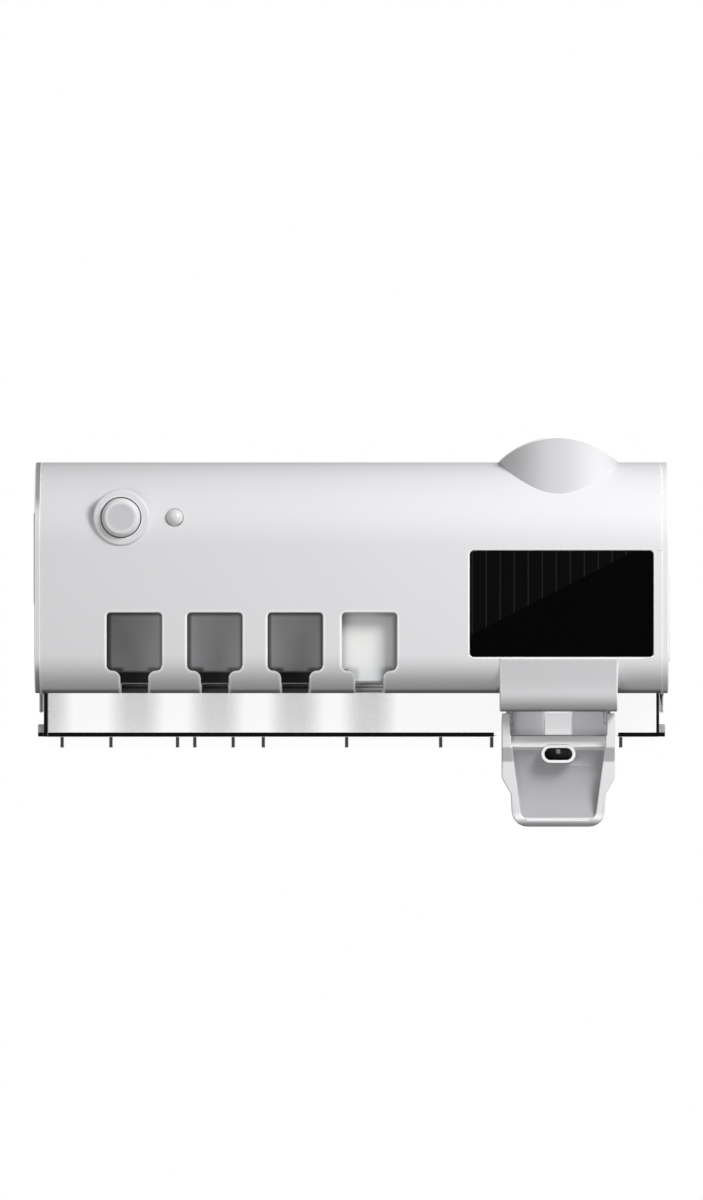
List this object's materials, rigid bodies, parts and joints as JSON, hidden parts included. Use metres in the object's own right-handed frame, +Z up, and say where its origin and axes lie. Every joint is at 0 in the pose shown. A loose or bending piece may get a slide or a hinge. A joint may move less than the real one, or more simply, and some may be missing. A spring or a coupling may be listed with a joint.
{
  "type": "wall-mounted toothpaste dispenser",
  "caption": "Wall-mounted bathroom unit with a push-lever toothpaste dispenser, lit brush bays, a solar panel and a clear drip tray.",
  "frame": {"origin": "on the wall, at the back face of the adhesive pad, under the middle of the casing's width and half-way up its height", "axes": "+X to the right seen from the front, +Y into the wall, +Z up; the front faces -Y"},
  "size_m": [0.2617, 0.0733, 0.1602],
  "materials": {
    "foam": "matte foam",
    "plate_plastic": "fine texture",
    "casing_plastic": "satin white moulding",
    "frame_plastic": "matte moulding",
    "pump_plastic": "natural moulding",
    "silicone": "soft silicone",
    "seal_rubber": "black rubber",
    "steel": "plated steel",
    "lever_plastic": "satin white moulding",
    "nozzle_plastic": "bright white moulding",
    "clear_plastic": "clear moulding",
    "liner_plastic": "dark grey moulding",
    "blank_plastic": "pale satin moulding",
    "circuit_board": "solder mask",
    "led_ceramic": "lamp package",
    "button_plastic": "satin white moulding",
    "lens_plastic": "milky lens",
    "battery_wrap": "shrink wrap over steel",
    "silicon": "dark silicon",
    "solar_glass": "polished black glass",
    "cover_rubber": "soft white elastomer",
    "lead_sheath": "insulated wire"
  },
  "bodies": {
    "wall_mount": {"adhesive_pad": "foam", "wall_plate": "plate_plastic"},
    "unit": {"back_shell": "casing_plastic", "front_shell": "casing_plastic", "left_end_cap": "casing_plastic", "right_end_cap": "casing_plastic", "casing_screws": "steel", "tube_collar": "casing_plastic", "dispenser_frame": "frame_plastic", "frame_screws": "steel", "pump_cylinder": "pump_plastic", "pump_end_cap": "pump_plastic", "tube_adaptor": "silicone", "inlet_valve": "silicone", "return_spring": "steel", "lever_pin": "steel", "chamber_liner": "liner_plastic", "slot_blank": "blank_plastic", "uv_board": "circuit_board", "uv_leds": "led_ceramic", "main_board": "circuit_board", "board_screws": "steel", "tact_switch": "seal_rubber", "button_spring": "steel", "motion_sensor": "steel", "sensor_lens": "lens_plastic", "battery_cell": "battery_wrap", "battery_holder": "frame_plastic", "solar_cell": "silicon", "solar_glass": "solar_glass", "charge_board": "circuit_board", "charge_socket": "steel", "solar_lead": "lead_sheath", "battery_lead": "lead_sheath", "uv_lead": "lead_sheath", "charge_lead": "lead_sheath"},
    "button": {"power_button": "button_plastic"},
    "lever": {"push_lever": "lever_plastic", "outlet_nozzle": "nozzle_plastic", "outlet_lip": "nozzle_plastic", "outlet_hose": "silicone"},
    "piston": {"pump_piston": "pump_plastic", "piston_seal": "seal_rubber", "outlet_valve": "silicone"},
    "tray": {"drip_tray": "clear_plastic"},
    "cover": {"port_cover": "cover_rubber"}
  },
  "joints": [
    {"name": "unit_lift", "type": "slide", "parent": "wall_mount", "child": "unit", "axis": [0, 0, 1], "range_m": [0, 0.012]},
    {"name": "button_press", "type": "slide", "parent": "unit", "child": "button", "axis": [0, 1, 0], "range_m": [0, 0.0012], "stiffness_N_per_m": 300, "springref_m": -0.002, "deforming": ["button_spring"]},
    {"name": "lever_swing", "type": "hinge", "parent": "unit", "child": "lever", "pos_m": [0.085, -0.056, -0.048], "axis": [1, 0, 0], "range_deg": [0, 14], "stiffness_Nm_per_rad": 0.3, "springref_deg": -5.73, "deforming": ["outlet_hose"]},
    {"name": "piston_stroke", "type": "slide", "parent": "unit", "child": "piston", "axis": [0, 0, 1], "range_m": [0, 0.0044], "deforming": ["return_spring"]},
    {"name": "tray_pull", "type": "slide", "parent": "unit", "child": "tray", "axis": [0, 0, -1], "range_m": [0, 0.025]},
    {"name": "cover_hinge", "type": "hinge", "parent": "unit", "child": "cover", "pos_m": [0.129, -0.036, 0.0026], "axis": [0, -1, 0], "range_deg": [0, 90]}
  ],
  "couplings": [
    {"joint": "piston_stroke", "follows": "lever_swing", "m_per_rad": 0.018}
  ]
}
